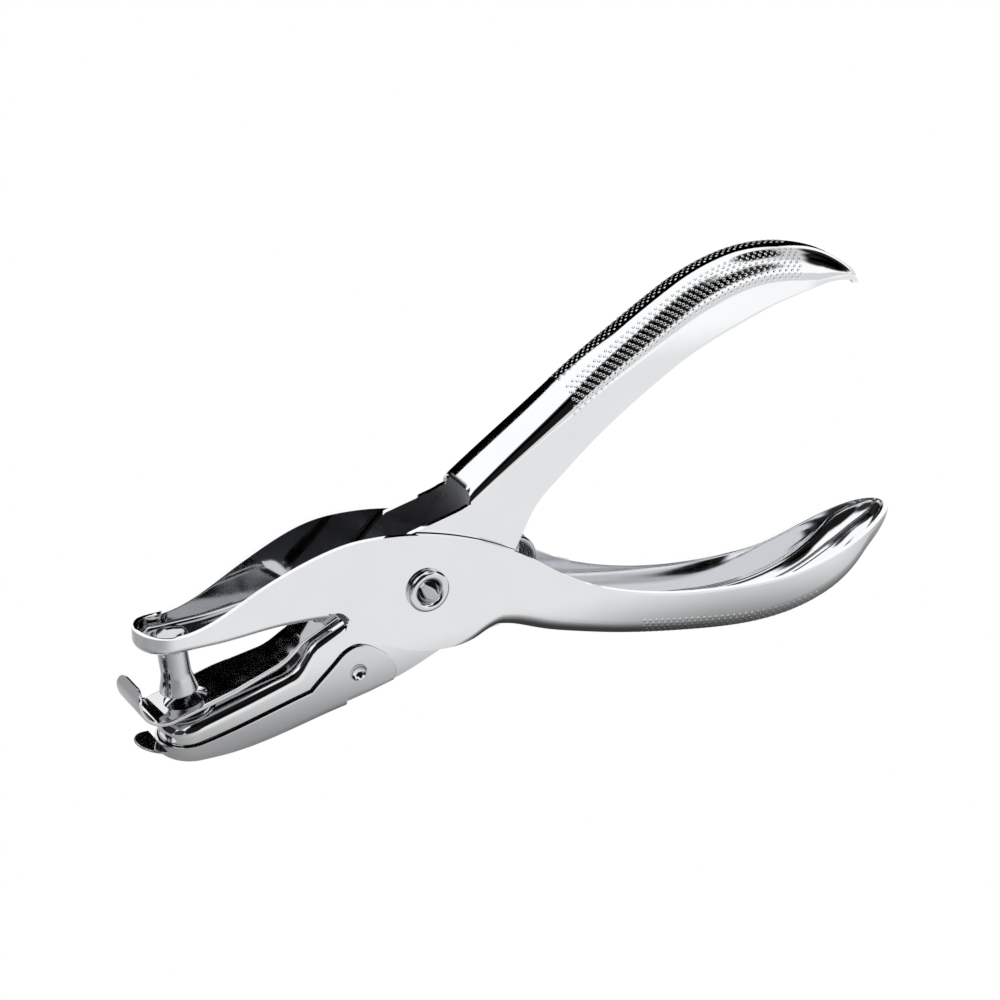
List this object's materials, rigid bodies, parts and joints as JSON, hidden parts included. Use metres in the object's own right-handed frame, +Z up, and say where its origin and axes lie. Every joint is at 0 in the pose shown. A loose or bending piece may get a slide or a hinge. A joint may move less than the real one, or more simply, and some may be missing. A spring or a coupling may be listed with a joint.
{
  "type": "single hole punch",
  "caption": "Plier-type hand punch of chromed pressed steel that cuts one round hole near a sheet's edge, with sprung levers, stripper plate and swing-down chip tray",
  "frame": {"origin": "centre of the bounding box's foot, on the table under the open punch", "axes": "+X runs from the jaws to the handles, +Y is across the levers along the pivot axis, +Z is up from the table"},
  "size_m": [0.135, 0.014, 0.0639],
  "materials": {
    "chromed_sheet": "bright nickel-chrome plate over pressed steel sheet",
    "chromed_rivet": "bright plated rivet",
    "chromed_strip": "bright plated spring strip",
    "tool_steel": "turned and polished hardened steel",
    "spring_steel": "drawn spring wire, plated"
  },
  "bodies": {
    "punch_body": {"punch_lever": "chromed_sheet", "pivot_rivet": "chromed_rivet", "punch_pin": "tool_steel", "return_spring": "spring_steel"},
    "die_body": {"die_lever": "chromed_sheet", "die_bush": "tool_steel", "stripper_plate": "chromed_strip", "stripper_rivet": "chromed_rivet"},
    "tray_body": {"chip_tray": "chromed_sheet"}
  },
  "joints": [
    {"name": "lever_hinge", "type": "hinge", "parent": "punch_body", "child": "die_body", "pos_m": [-0.0188, 0, 0.0207], "axis": [0, 1, 0], "range_deg": [0, 5.9], "stiffness_Nm_per_rad": 0.6, "springref_deg": -28.65, "deforming": ["return_spring"]},
    {"name": "tray_hinge", "type": "hinge", "parent": "die_body", "child": "tray_body", "pos_m": [-0.0303, 0, 0.0091], "axis": [0, -1, 0], "range_deg": [0, 22]}
  ]
}
